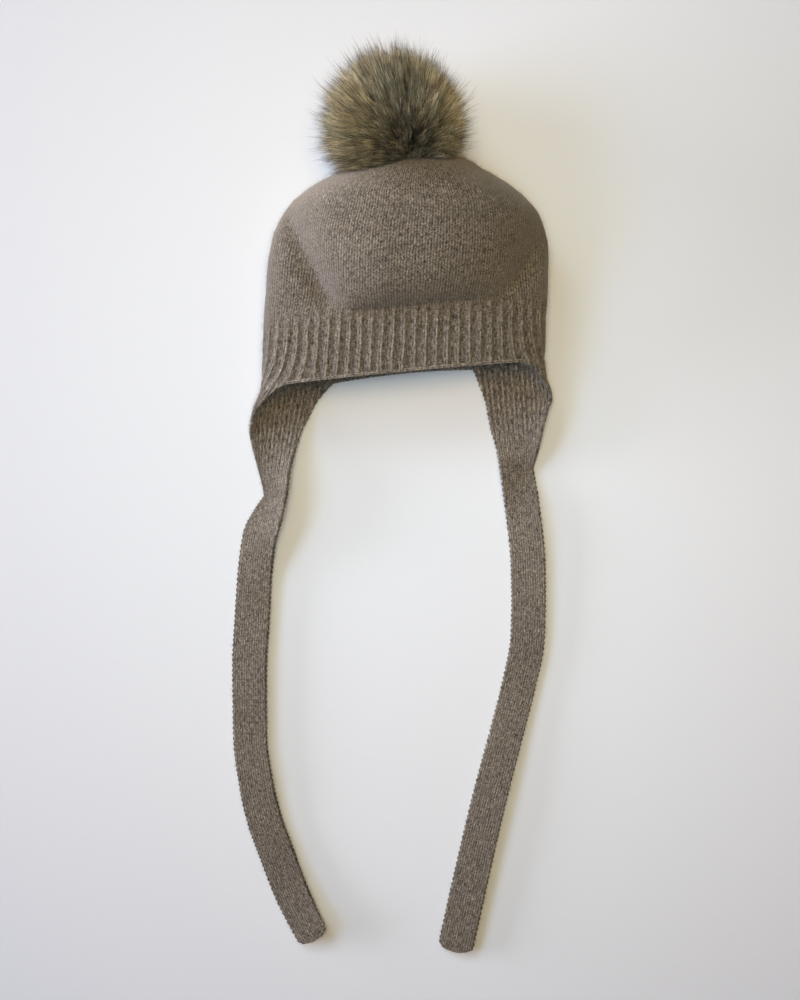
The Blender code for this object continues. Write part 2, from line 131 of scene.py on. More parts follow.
TIES = {
    "left": {
        "at": (0, 0.06, 0.12, 0.2, 0.28, 0.4, 0.53, 0.64, 0.72, 0.81, 0.9, 1),
        "across": (0, -0.015, -0.032, -0.044, -0.049, -0.055, -0.054, -0.041, -0.024, 0.001, 0.032, 0.077),
        "down": (0, 0.043, 0.086, 0.165, 0.246, 0.359, 0.49, 0.595, 0.668, 0.737, 0.817, 0.906),
        "left_lift": (0.004, 0.002, 0, 0, 0, 0, 0.001, 0.001, 0, 0, 0, 0.006),
        "right_lift": (0.036, 0.033, 0.024, 0.01, 0.008, 0.0085, 0.008, 0.008, 0.005, 0.006, 0.009, 0.018),
        "width": (0.8, 0.92, 1.02, 1.01, 1.03, 1.01, 0.98, 1, 1.02, 1.02, 1.01, 0.92),
    },
    "right": {
        "at": (0, 0.08, 0.18, 0.27, 0.35, 0.45, 0.55, 0.7, 0.85, 1),
        "across": (0, 0.011, 0.0225, 0.024, 0.022, 0.004, -0.02, -0.058, -0.093, -0.127),
        "down": (0, 0.081, 0.19, 0.268, 0.347, 0.444, 0.538, 0.683, 0.834, 0.986),
        "left_lift": (0.008, 0.002, 0, 0, 0, 0, 0, 0, 0, 0.002),
        "right_lift": (0.012, 0.011, 0.009, 0.007, 0.006, 0.004, 0.006, 0.009, 0.008, 0.007),
        "width": (1, 0.98, 0.98, 0.97, 0.97, 0.96, 0.95, 0.97, 0.99, 1),
    },
}
TIE_SQUARE_SHARE = 0.1

# Only here: how the flaps' wales fan out, how far a flap's face is canted, its flat area, and the ties' ends
TIE_JOINED_SHARE = 0.12
FLAP_FAN = {"left": 0.45, "right": 0.25}
FLAP_CANT = {"left": 0.0, "right": 0.0095}
FLAP_CANT_FROM = 0.15
TIE_END_ROUNDING = 0.004
TIE_END_BULGE = 0.0018
TIE_END_NARROWER = 0.24

# Stitches: widths across a wale and heights of a course, and how deep the gaps between them are
CROWN_COURSE = 0.0024
BRIM_COURSE = 0.0023
FLAP_WALE = 0.0039
FLAP_COURSE = 0.0024
TIE_WALE = 0.0033
TIE_COURSE = 0.0023
LEG_SLOPE = 1.1
PLAIN_DEPTH = 0.0004
RIB_DEPTH = 0.00125
FLAP_RIB_DEPTH = 0.00095
FULL_WALE = 0.0038
EDGE_BEAD = 0.0037
LEAST_HEIGHT = 0.0003

# Ribs: how many to a wale, a strand's width, how high a ridge's second strand is and how far from the first
BRIM_RIBS = {"per_wale": 0.5, "ridge": 0.13, "second": 0.60, "apart": 0.23}
FLAP_RIBS = {"per_wale": 1.0, "ridge": 0.27, "second": 0.00, "apart": 0.0}
RIBS_FADE_OVER = 0.0045

# The nap: how often it is blurred, from which upward turn of the knit it starts, how fast, and how strong
NAP_BLURS = 14
NAP_FROM = 0.98
NAP_RATE = 3.0
BRIM_NAP = 0.25
STRIP_NAP = 0.1

# Towards the folds the ribs bend outwards as they near the hem: wales, and over which shares of the front
RIB_BEND_LEFT = 2.6
RIB_BEND_RIGHT = 1.5
BEND_FROM = 0.78
BEND_FULL = 0.93
BEND_POWER = 4

# How strong the ribs are at the seam and how soon they deepen, how they wander, and where a flap turns plain
RIBS_AT_SEAM = 0.42
RIBS_DEEPEN_OVER = 0.009
RIB_WANDER = 0.16
RIB_WANDER_OVER = 0.03
FLAP_PLAIN_FROM = 0.35
FLAP_PLAIN_OVER = 0.5

# The brim's top edge, tucked under the crown's: how far up and how deep; and how far its hem bulges
TUCK = 0.0014
TUCKED_UNDER = 0.0006
HEM_BULGE = 0.4 * BRIM_WALL

# Swellings of the cloth: height, width and seed, and the height above which it swells in full
SWELLS = ((0.0007, 0.055, 11), (0.00035, 0.021, 12))
SWELL_FREE_ABOVE = 0.012

# Grid fineness, with the columns of the front and of the back
FINE_STEPS = 960
CROWN_COLUMNS = (FRONT_RIBS * 10, BACK_RIBS * 3)
CROWN_ROWS = 200
CROWN_INNER_ROWS = 20
BRIM_COLUMNS = (FRONT_RIBS * 14, BACK_RIBS * 5)
BRIM_ROWS = 60
BRIM_INNER_ROWS = 18
FLAP_COLUMNS = 120
FLAP_ROWS = 100
TIE_COLUMNS = 30
TIE_ROWS = 500
EDGE_STEPS = 3

# The chain of stitches along the hem, and the height of the hem's top as a share of CROWN_HEIGHT
CHAIN_RADIUS = 0.0011
CHAIN_STEP = 0.0006
CHAIN_SIDES = 8
CHAIN_OVERLAP = 0.003
HEM_TOP = 0.65

# The nape edge of the brim lies in a low arch: how high, half its width, and how far up the folds it fades
NAPE_ARCH = 0.0032
NAPE_ARCH_HALF = 0.06
NAPE_ARCH_FADES = 0.3 * CROWN_HEIGHT

# Colours, as linear albedo, and factors of painted light and shade; stops run from a gap, darkened with
# painted shade, to a crest and from a hair's root to its tip
# The yarn's colour on a crest, darkened towards the gaps between stitches as painted shade
YARN_STOPS_WITH_GAP_SHADE = (
    (0.10, (0.034, 0.025, 0.016)),
    (0.64, (0.157, 0.127, 0.093)),
    (1.00, (0.277, 0.234, 0.180)),
)
UNDERFUR_STOPS = ((0.3, (0.010, 0.008, 0.005)), (0.7, (0.045, 0.036, 0.022)))
# Painted shade on the strips' rounded edges, as a brightness factor
PAINTED_EDGE_SHADE = 0.78
# Painted light where a flap joins its tie, and painted shade at a tie's free end, as brightness factors
PAINTED_LIGHT_AT_JOIN = 1.13
PAINTED_SHADE_AT_TIE_END = 0.95
# Painted light and shade on the crown: how much paler it is painted where it faces the light, from how far
# up, and over what length
PAINTED_CROWN_LIGHT = 0.5
PAINTED_CROWN_LIGHT_FROM = 0.25
PAINTED_CROWN_LIGHT_OVER = 0.4
# Painted highlight along the hem's chain, as a brightness factor
PAINTED_CHAIN_HIGHLIGHT = 1.3
FUZZ_COLOUR = (0.300, 0.260, 0.205)
FLOOR = (0.80, 0.80, 0.79)
FUR_GREY = (0.93, 1.00, 0.96)
FUR_GOLDEN = (1.06, 0.97, 0.80)
FUR_STOPS = (
    (0.00, (0.020, 0.017, 0.012)),
    (0.38, (0.055, 0.050, 0.036)),
    (0.60, (0.190, 0.168, 0.118)),
    (0.78, (0.700, 0.600, 0.425)),
    (0.89, (0.790, 0.665, 0.465)),
    (0.94, (0.150, 0.125, 0.095)),
    (1.00, (0.022, 0.020, 0.018)),
)

# The wool's finish, and the sizes of its marks: noise scales, and noise cells to a wale and to a course
WOOL = {
    "Roughness": 0.95,
    "Specular IOR Level": 0.15,
    "Sheen Weight": 0.30,
    "Sheen Roughness": 0.45,
    "Sheen Tint": (0.95, 0.88, 0.78, 1),
}
FIBRE_SCALE = 1050
FLECK_SCALE = 620
PATCH_SCALE = 26
STREAKS_TO_A_WALE = 3.1
STREAKS_TO_A_COURSE = 0.6
FLECK_STRENGTH = 3.8
MIDDLE_HEIGHT = 0.62


def clamp(values):
    return np.clip(values, 0, 1)


def smooth(at, knots, values):
    """A cubic through a table's rows that never swings past them."""
    at, knots, values = (np.asarray(numbers, float) for numbers in (at, knots, values))
    steps = np.diff(knots)
    rises = np.diff(values) / steps
    before, after = rises[:-1], rises[1:]
    total = np.where(np.abs(before + after) < 1e-12, 1.0, before + after)
    inner = np.where(before * after > 0, 2 * before * after / total, 0.0)
    slopes = np.concatenate((rises[:1], inner, rises[-1:]))
    row = np.clip(np.searchsorted(knots, at, side="right") - 1, 0, len(steps) - 1)
    t = (at - knots[row]) / steps[row]
    return (
        values[row] * (1 + 2 * t) * (1 - t) ** 2
        + values[row + 1] * t**2 * (3 - 2 * t)
        + steps[row] * slopes[row] * t * (1 - t) ** 2
        + steps[row] * slopes[row + 1] * t**2 * (t - 1)
    )


def read(table, at):
    """Each column of a table, at places between its rows."""
    return {name: smooth(at, table["at"], column) for name, column in table.items()}


def along(share):
    """Y of a share of the crown's length above the seam, or of the brim's height below it."""
    length = CROWN_LENGTH if share >= 0 else BRIM_HEIGHT
    return share * length - ORIGIN_SHARE * CROWN_LENGTH


def gather_point():
    return np.array((0, along(GATHER_ALONG), GATHER_HEIGHT * CROWN_HEIGHT))


def askew(x, y):
    """How far a point is shifted along Y because the bonnet lies askew; it fades out towards the gather."""
    above_seam = clamp((y - along(0)) / CROWN_LENGTH)
    return ASKEW * x * (1 - above_seam) ** 2


def inside_pleat(side, x, y):
    """Distance of points from a pleat's line, positive towards the middle of the crown."""
    ends = [(across * HAT_WIDTH / 2, along(0) + up * CROWN_LENGTH) for across, up in PLEATS[side]]
    high, low = np.array(ends)
    line = (high - low) / np.linalg.norm(high - low)
    distance = (x - low[0]) * line[1] - (y - low[1]) * line[0]
    return distance if side == "left" else -distance


def rise(distance, width):
    """0 outside an edge, then a steep start that levels out, eased where it begins."""
    within = np.clip(distance, 0, None)
    eased = np.sqrt(within**2 + EDGE_EASE**2) - EDGE_EASE
    return 1 - np.exp(-eased / width)


def dome_share(x, y):
    """How much of DOME_RISE the front has at a place, 0 to 1."""
    from_seam = y - along(0) - ASKEW * x
    share = rise(from_seam, SEAM_RISE_WIDTH)
    for side in PLEATS:
        share = share * rise(inside_pleat(side, x, y), PLEAT_RISE_WIDTH)
    return share


def pleat_hollow(x, y):
    """Depth of the hollow beside each pleat."""
    depth = 0
    for side in PLEATS:
        distance = inside_pleat(side, x, y) / PLEAT_HOLLOW_WIDTH
        depth = depth + np.exp(-(distance**2))
    from_seam = clamp((y - along(0) - ASKEW * x) / (HOLLOW_STARTS_OVER * CROWN_LENGTH))
    to_shoulder = clamp((along(HOLLOW_ENDS_AT) - y) / (HOLLOW_ENDS_OVER * CROWN_LENGTH))
    return SIDE_PLEAT_DEPTH * depth * from_seam * to_shoulder


def evenly(points, count):
    """count + 1 points along a line of points, evenly spaced by length."""
    walked = walked_along(points)
    places = np.linspace(0, walked[-1], count + 1)
    return np.stack([np.interp(places, walked, points[:, i]) for i in range(3)], axis=1)


def walked_along(points):
    """Length from the first point of a line to each of its points."""
    return np.concatenate(([0], np.cumsum(np.linalg.norm(np.diff(points, axis=0), axis=1))))


def half_rings(at):
    """The front half ring, from the right fold to the left, and the back one, on round to the right."""
    row = read(RINGS, at)
    half_width = HAT_WIDTH / 2
    left, right = -row["left"] * half_width, row["right"] * half_width
    middle, half = (left + right) / 2, (right - left) / 2
    top, fold, under = (row[name] * CROWN_HEIGHT for name in ("top", "fold", "under"))
    front_y, back_y = along(row["front"]), along(row["back"])

    angle = np.linspace(0, pi, FINE_STEPS)
    power = 2 / FRONT_ROUNDNESS
    x = middle + half * np.sign(np.cos(angle)) * np.abs(np.cos(angle)) ** power
    y = front_y + askew(x, front_y)
    share = dome_share(x, y)
    crest = top + DOME_RISE * share - pleat_hollow(x, y)
    z = fold + (crest - fold) * np.abs(np.sin(angle)) ** power
    lean = (z - under) / (top + DOME_RISE - under)
    near_seam = np.exp(-(((y - along(0)) / (OVERHANG_REACH * CROWN_LENGTH)) ** 2))
    overhang = 4 * DOME_OVERHANG * share * (1 - share) * near_seam
    y = back_y + (front_y - back_y) * lean + askew(x, front_y) - overhang * np.sin(angle)
    front = np.stack((x, y, z), axis=1)

    corner = min(CORNER_SHARE * fold, CORNER_MOST * half)
    turn = np.linspace(0, pi / 2, FINE_STEPS // 4)
    left_x = left + corner * (1 - np.cos(turn))
    right_x = (right - corner * (1 - np.cos(turn)))[::-1]
    flat_x = np.linspace(left_x[-1], right_x[0], FINE_STEPS // 2)[1:-1]
    drop = under + (fold - under) * (1 - np.sin(turn))
    x = np.concatenate((left_x, flat_x, right_x))
    z = np.concatenate((drop, np.full(len(flat_x), under), drop[::-1]))
    y = back_y + (front_y - back_y) * (z - under) / (top + DOME_RISE - under) + askew(x, front_y)
    return front, np.stack((x, y, z), axis=1)


def ring(at, front_count, back_count):
    """Points round the hat, evenly spaced over its front and over its back."""
    front, back = half_rings(at)
    return np.concatenate((evenly(front, front_count)[:-1], evenly(back, back_count)[:-1]))


def stations(low, high, count):
    """Places along the hat that lie evenly by length over its front, and the length up to each."""
    fine = np.linspace(low, high, 5 * count)
    middle = np.array([half_rings(at)[0][FINE_STEPS // 2] for at in fine])
    walked = walked_along(middle)
    lengths = np.linspace(0, walked[-1], count)
    return np.interp(lengths, walked, fine), lengths


def unit(vectors):
    return vectors / np.maximum(np.linalg.norm(vectors, axis=-1, keepdims=True), 1e-12)


def closed_normals(grid):
    """Outward unit normals of rings that run up the hat."""
    around = np.roll(grid, -1, axis=1) - np.roll(grid, 1, axis=1)
    return unit(np.cross(np.gradient(grid, axis=0), around))


def open_normals(grid, sign):
    return sign * unit(np.cross(np.gradient(grid, axis=1), np.gradient(grid, axis=0)))


def scatter(i, j, seed):
    """A fixed random number from 0 to 1 for each whole i and j."""
    table = np.random.default_rng(seed).random((257, 263))
    return table[np.floor(i).astype(int) % 257, np.floor(j).astype(int) % 263]


def ripple(x, y, scale, seed):
    """Smooth waves from -1 to 1 that don't repeat within the hat."""
    rng = np.random.default_rng(seed)
    total = np.zeros(np.broadcast(x, y).shape)
    for heading, stretch, phase in zip(rng.random(7) * 2 * pi, 0.6 + rng.random(7), rng.random(7) * 2 * pi):
        reach = 2 * pi * stretch / scale
        total = total + np.sin(reach * (x * cos(heading) + y * sin(heading)) + phase)
    return total / 7


def plain_stitches(u, v):
    """Height, 0 to 1, of V-shaped stitches. u counts wales and v counts courses."""
    side = np.abs(u % 1 - 0.5) * 2
    leg = v - LEG_SLOPE * side
    strand = np.sin(pi * (leg % 1))
    across = 1 - (2 * side - 1) ** 2
    proud = 0.70 + 0.30 * scatter(2 * u, leg, 5)
    return (0.25 + 0.75 * across) * (0.35 + 0.65 * strand) * proud


def rib_stitches(u, v, ribs):
    """Height, 0 to 1, of ridges of two strands with purl bars between. u counts wales."""
    off = u * ribs["per_wale"] % 1 - 0.5
    first = np.exp(-((off / ribs["ridge"]) ** 2))
    second = ribs["second"] * np.exp(-(((off - ribs["apart"]) / ribs["ridge"]) ** 2))
    strand = np.sin(pi * ((v - LEG_SLOPE * np.abs(off)) % 1))
    bars = 0.12 * (1 - first) * np.sin(pi * (v % 1))
    return np.maximum(first, second) * (0.80 + 0.20 * strand) + bars


def sunk(u, v, ribbing, rib_depth, ribs, wale_width):
    """How far each point lies under the crests of the stitches."""
    plain = PLAIN_DEPTH * np.clip(wale_width / FULL_WALE, 0.2, 1) * (1 - plain_stitches(u, v))
    return (1 - ribbing) * plain + ribbing * rib_depth * (1 - rib_stitches(u, v, ribs))


def add_object(name, data):
    made = bpy.data.objects.new(name, data)
    bpy.context.scene.collection.objects.link(made)
    return made


def add_piece(name, mesh, material, replaced=()):
    mesh.materials.append(material)
    mesh.shade_smooth()
    made = add_object(name, mesh)
    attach(made, "root")
    if replaced:
        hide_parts(*replaced)
    return made


def lattice_faces(rows, columns, rows_close):
    """Quads between neighbouring rows whose columns close round."""
    i, j = np.meshgrid(np.arange(rows if rows_close else rows - 1), np.arange(columns), indexing="ij")
    below, beside = (i + 1) % rows, (j + 1) % columns
    corners = ((i, j), (below, j), (below, beside), (i, beside))
    faces = np.stack([a * columns + b for a, b in corners], axis=-1).reshape(-1, 4)
    map_corners = ((i, j), (i + 1, j), (i + 1, j + 1), (i, j + 1))
    return faces.tolist(), [(a.ravel(), b.ravel()) for a, b in map_corners]


def knit_mesh(name, points, u, v, cloth, creases=(), rows_close=False, more_points=(), more_faces=()):
    """A closed mesh on rows of points that close round, with stitch counts u and v as its map.

    cloth holds, for each point, how ribbed it is, how brushed, and its painted light and shade as a
    brightness factor. creases are sharp rows.
    """
    rows, columns = points.shape[:2]
    faces, map_corners = lattice_faces(rows, columns, rows_close)
    stitches = np.stack([np.stack((u[a, b], v[a, b]), axis=-1) for a, b in map_corners], axis=1)
    extra = sum(len(face) for face in more_faces)
    stitches = np.concatenate((stitches.reshape(-1, 2), np.zeros((extra, 2))))
    mesh = bpy.data.meshes.new(name)
    vertices = points.reshape(-1, 3).tolist() + [tuple(point) for point in more_points]
    mesh.from_pydata(vertices, [], faces + [list(face) for face in more_faces])
    layer = mesh.uv_layers.new(name="stitches")
    layer.uv.foreach_set("vector", stitches.astype(np.float32).ravel())
    shape = bmesh.new()
    shape.from_mesh(mesh)
    bmesh.ops.recalc_face_normals(shape, faces=shape.faces[:])
    shape.to_mesh(mesh)
    shape.free()

    row_of = numbers_of(mesh.edges, "vertices", 2, int) // columns
    sharp = (row_of[:, 0] == row_of[:, 1]) & np.isin(row_of[:, 0], creases)
    mesh.attributes.new("sharp_edge", "BOOLEAN", "EDGE").data.foreach_set("value", sharp)
    keep_numbers(mesh, "cloth", np.concatenate((cloth.reshape(-1, 3), np.ones((len(more_points), 3)))))
    return mesh


def point_numbers(shape, first=0.0, second=0.0, third=1.0):
    """Three numbers for each point, for its material to read: on cloth its ribbing, nap and painted light
    and shade.
    """
    return np.stack([np.broadcast_to(part, shape) for part in (first, second, third)], axis=-1)


def numbers_of(items, name, width, kind):
    """A row of numbers for each of a mesh's vertices, edges or triangles."""
    numbers = np.empty(width * len(items), kind)
    items.foreach_get(name, numbers)
    return numbers.reshape(-1, width)


def keep_numbers(mesh, name, numbers):
    layer = mesh.attributes.new(name, "FLOAT_VECTOR", "POINT")
    layer.data.foreach_set("vector", numbers.astype(np.float32).ravel())


def brushed(normals):
    """The knit looks more brushed where it turns away from straight up, less so towards the brim."""
    nap = clamp((NAP_FROM - normals[..., 2]) * NAP_RATE) * (1 - 0.5 * clamp(-2 * normals[..., 1]))
    for _ in range(NAP_BLURS):
        nap = (np.roll(nap, 2, axis=1) + nap + np.roll(nap, -2, axis=1)) / 3
        padded = np.concatenate((nap[:2], nap, nap[-2:]))
        nap = (padded[:-4] + nap + padded[4:]) / 3
    return nap


def painted_crown_light_and_shade(grid, normals):
    """Painted light and shade on the crown's wool: paler over its left shoulder and its end, which face the
    light, and darker on its right, which faces away from it.
    """
    turned = np.clip(0.9 * clamp(normals[..., 1]) - 0.9 * normals[..., 0], -0.5, 1)
    shoulder = clamp((grid[..., 1] - along(PAINTED_CROWN_LIGHT_FROM)) / (PAINTED_CROWN_LIGHT_OVER * CROWN_LENGTH))
    return 1 + PAINTED_CROWN_LIGHT * turned * shoulder


def wale_counts(front_count, back_count):
    """Wales counted round a ring, with one more count at the end, where it closes."""
    front_wales, back_wales = 2 * FRONT_RIBS, 2 * BACK_RIBS
    front = np.arange(front_count) / front_count * front_wales
    return np.concatenate((front, front_wales + np.arange(back_count + 1) / back_count * back_wales))


def lift_clear(points):
    """Keeps a surface just over the plane that it rests on."""
    points[..., 2] = np.maximum(points[..., 2], LEAST_HEIGHT)
    return points


def softened(grid, normals):
    """Small uneven swellings of the cloth, none where it lies on the rest plane."""
    x, y, z = grid[..., 0], grid[..., 1], grid[..., 2]
    swell = sum(height * ripple(x, y, width, seed) for height, width, seed in SWELLS)
    return grid + normals * (swell * clamp(z / SWELL_FREE_ABOVE))[..., None]


def bent(places, front_count, back_count):
    """How many wales the ribs lean outwards at each point of the brim."""
    front = np.arange(front_count) / front_count
    left, right = (clamp((share - BEND_FROM) / (BEND_FULL - BEND_FROM)) for share in (front, 1 - front))
    fade = clamp(1 - 3 * np.arange(back_count + 1) / back_count)
    left = np.concatenate((left, fade))
    right = np.concatenate((right, fade[::-1]))
    return clamp(-places)[:, None] ** BEND_POWER * (RIB_BEND_RIGHT * right - RIB_BEND_LEFT * left)


def wandered(u, grid, ribbing):
    """Wale counts whose ribs wander a little from side to side."""
    shift = RIB_WANDER * ribbing * ripple(grid[..., 0], grid[..., 1], RIB_WANDER_OVER, 21)
    return u + np.concatenate((shift, shift[:, :1]), axis=1)


def hat_shell(low, high, rows, front_count, back_count):
    """Rows of the hat between two places: the places, lengths up to them, points, normals and wales."""
    places, lengths = stations(low, high, rows)
    grid = np.array([nape_arch(ring(at, front_count, back_count), at) for at in places])
    normals = closed_normals(grid)
    return places, lengths, softened(grid, normals), normals, wale_counts(front_count, back_count)


def make_crown(knit):
    _, lengths, grid, normals, u = hat_shell(0, 1, CROWN_ROWS, *CROWN_COLUMNS)
    ribbing = np.exp(-((lengths / RIBS_FADE_OVER) ** 2))[:, None] * np.ones(grid.shape[:2])
    u = wandered(u, grid, ribbing)
    v = np.broadcast_to((lengths / CROWN_COURSE)[:, None], u.shape)

    spacing = np.linalg.norm(np.roll(grid, -1, axis=1) - grid, axis=2)
    wale = spacing / np.abs(np.diff(u, axis=1))
    sink = sunk(u[:, :-1], v[:, :-1], ribbing, RIBS_AT_SEAM * RIB_DEPTH, BRIM_RIBS, wale)
    outer = lift_clear(grid - normals * sink[..., None])

    picked = np.linspace(0, CROWN_ROWS - 1, CROWN_INNER_ROWS).astype(int)
    inner = lift_clear((grid - normals * CROWN_WALL)[picked])
    points = np.concatenate((outer[::-1], inner))
    u = np.concatenate((u[::-1], u[picked]))
    v = np.concatenate((v[::-1], v[picked]))
    # The third number is painted light and shade: paler on the crown's lit left shoulder, darker on its
    # right
    cloth = point_numbers(grid.shape[:2], RIBS_AT_SEAM * ribbing, brushed(normals), painted_crown_light_and_shade(grid, normals))
    cloth = np.concatenate((cloth[::-1], cloth[picked]))

    gather = gather_point()
    within = gather - np.array((0, CROWN_WALL, 0))
    columns = points.shape[1]
    count = points.shape[0] * columns
    last = count - columns
    fans = []
    for j in range(columns):
        k = (j + 1) % columns
        fans.append((count, j, k))
        fans.append((last + j, count + 1, last + k))
    rim = (CROWN_ROWS - 1, CROWN_ROWS)
    mesh = knit_mesh("crown_knit", points, u, v, cloth, rim, more_points=(gather, within), more_faces=fans)
    return add_piece("crown_knit", mesh, knit, ["crown"])


def nape_arch(points, at):
    """Draws the middle of the brim's nape edge up, more the nearer it is to the hem."""
    x, z = points[:, 0], points[:, 2]
    arch = np.clip(1 - (x / NAPE_ARCH_HALF) ** 2, -1, 1)
    on_back = clamp(1 - z / NAPE_ARCH_FADES)
    points[:, 1] += NAPE_ARCH * arch * on_back * max(0, -at) ** 2
    return points


def make_brim(knit):
    """The band, whose top edge is tucked under the crown's."""
    top = TUCK / CROWN_LENGTH
    places, lengths, grid, normals, u = hat_shell(-1, top, BRIM_ROWS, *BRIM_COLUMNS)
    lengths = lengths - np.interp(0, places, lengths)
    u = wandered(u + bent(places, *BRIM_COLUMNS), grid, 1.0)
    v = np.broadcast_to((lengths / BRIM_COURSE)[:, None], u.shape)
    grown = RIBS_AT_SEAM + (1 - RIBS_AT_SEAM) * clamp(-lengths / RIBS_DEEPEN_OVER)[:, None]
    depth = RIB_DEPTH * grown
    sink = sunk(u[:, :-1], v[:, :-1], 1.0, depth, BRIM_RIBS, FULL_WALE)
    sink = sink + np.where(lengths > 0, TUCKED_UNDER, 0)[:, None]
    outer = lift_clear(grid - normals * sink[..., None])
    picked = np.linspace(0, BRIM_ROWS - 1, BRIM_INNER_ROWS).astype(int)
    proud = depth[picked] * (1 - rib_stitches(u[picked, :-1] + 1, v[picked, :-1], BRIM_RIBS))
    inner = lift_clear(grid[picked] - normals[picked] * (BRIM_WALL - proud)[..., None])
    hem = (outer[0] + inner[0]) / 2 - np.array((0, HEM_BULGE, 0))
    points = np.concatenate((inner[::-1], hem[None], outer))
    within = u[picked[::-1]] + 1
    u = np.concatenate((within, u[:1], u, within[:1]))
    v = np.concatenate((v[picked[::-1]], v[:1], v, v[-1:]))
    cloth = point_numbers(grid.shape[:2], grown, BRIM_NAP * brushed(normals))
    cloth = np.concatenate((cloth[picked[::-1]], cloth[:1], cloth))
    mesh = knit_mesh("brim_knit", points, u, v, cloth, (0, len(points) - 1), rows_close=True)
    return add_piece("brim_knit", mesh, knit, ["ribbed_brim"])


def strip_mesh(name, grid, outward, wall, u, v, ribbing, edge_walk, painted_light_ends):
    """A flat knitted strip: its lower face on a grid, its wall above that, and beaded edges with painted
    shade, and painted light and shade along its length.
    """
    sink = sunk(u, v, ribbing[:, None], FLAP_RIB_DEPTH, FLAP_RIBS, FULL_WALE)
    lower = grid - outward * sink[..., None]
    upper = grid - outward * (wall - sink)[..., None]
    bead = np.abs(np.sin(pi * edge_walk / EDGE_BEAD))[:, None]
    arcs = []
    for column, step in ((-1, -2), (0, 1)):
        away = unit(grid[:, column] - grid[:, step])
        centre = grid[:, column] - outward[:, column] * wall / 2
        turns = []
        for k in range(1, EDGE_STEPS + 1):
            turn = pi * k / (EDGE_STEPS + 1)
            down = outward[:, column] * cos(turn) * wall / 2 * (0.7 + 0.5 * bead)
            turns.append(centre + down + away * sin(turn) * wall / 2 * (0.35 + 0.75 * bead))
        arcs.append(np.stack(turns, axis=1))
    points = lift_clear(np.concatenate((lower, arcs[0], upper[:, ::-1], arcs[1][:, ::-1]), axis=1))
    ends = [np.repeat(part, EDGE_STEPS, axis=1) for part in (u[:, -1:], u[:, :1])]
    u = np.concatenate((u, ends[0], u[:, ::-1], ends[1], u[:, :1]), axis=1)
    v = np.broadcast_to(v[:, :1], u.shape)
    rows, columns = points.shape[:2]
    width = grid.shape[1]
    # Painted shade darkens the strip's rounded edges
    edge_shade_row = np.concatenate((np.ones(width), np.full(EDGE_STEPS, PAINTED_EDGE_SHADE)))
    # Painted light and shade along the strip, from one end's factor to the other's
    painted_light_and_shade = np.tile(edge_shade_row, 2) * np.linspace(*painted_light_ends, rows)[:, None]
    cloth = point_numbers((rows, columns), ribbing[:, None], STRIP_NAP, painted_light_and_shade)
    faces = []
    for start in (0, (rows - 1) * columns):
        loop = range(start, start + columns)
        below, above = loop[:width], loop[width + EDGE_STEPS:2 * width + EDGE_STEPS][::-1]
        faces += zip(below, below[1:], above[1:], above)
        faces += [loop[width - 1:width + EDGE_STEPS + 1], (*loop[2 * width + EDGE_STEPS - 1:], start)]
    return knit_mesh(name, points, u, v, cloth, (0, rows - 1), more_faces=faces)


def chain_mesh(name, path, radius):
    """A thin round cord of changing radius along a path, closed at both ends."""
    heading = unit(np.gradient(path, axis=0))
    side = unit(np.cross(heading, (0, 0, 1)))
    up = np.cross(side, heading)
    turn = (np.arange(CHAIN_SIDES) / CHAIN_SIDES * 2 * pi)[:, None]
    around = side[:, None] * np.cos(turn) + up[:, None] * np.sin(turn)
    points = lift_clear(path[:, None] + around * radius[:, None, None])
    v = np.broadcast_to((walked_along(path) / TIE_COURSE)[:, None], (len(path), CHAIN_SIDES + 1))
    u = np.broadcast_to(np.linspace(0, 2, CHAIN_SIDES + 1), v.shape)
    last = (len(path) - 1) * CHAIN_SIDES
    ends = [range(CHAIN_SIDES), range(last, last + CHAIN_SIDES)]
    # Painted highlight: the chain is painted paler
    cloth = point_numbers(points.shape[:2], third=PAINTED_CHAIN_HIGHLIGHT)
    return knit_mesh(name, points, u, v, cloth, (0, len(path) - 1), more_faces=ends)


def make_hem_chain(name, half, reach, knit):
    """The chain of edge stitches along a free stretch of the hem, between the ear flaps."""
    walked = walked_along(half)
    low, high = reach, walked[-1] - reach
    places = np.linspace(low, high, int((high - low) / CHAIN_STEP))
    path = np.stack([np.interp(places, walked, half[:, i]) for i in range(3)], axis=1)
    inside = unit(np.array((0, 0, 0.5 * CROWN_HEIGHT * HEM_TOP)) - path * np.array((0, 0, 1)))
    path = path + inside * CHAIN_RADIUS - np.array((0, 0.6 * CHAIN_RADIUS, 0))
    radius = CHAIN_RADIUS * (0.80 + 0.30 * np.abs(np.sin(pi * places / EDGE_BEAD)))
    return add_piece(name, chain_mesh(name, path, radius), knit)


def hem_profile(side):
    """The hem ring either side of the fold: length from the fold, distance inwards and height."""
    front, back = half_rings(-1)
    upper, lower = (front, back[::-1]) if side == "right" else (front[::-1], back)
    inwards = -1 if side == "right" else 1
    parts = []
    for sign, part in ((-1, upper), (1, lower)):
        walked = sign * walked_along(part * np.array((1, 0, 1)))
        parts.append(np.stack((walked, inwards * (part[:, 0] - part[0, 0]), part[:, 2]), axis=1))
    return np.concatenate((parts[0][:0:-1], parts[1])), part[0, 0], inwards


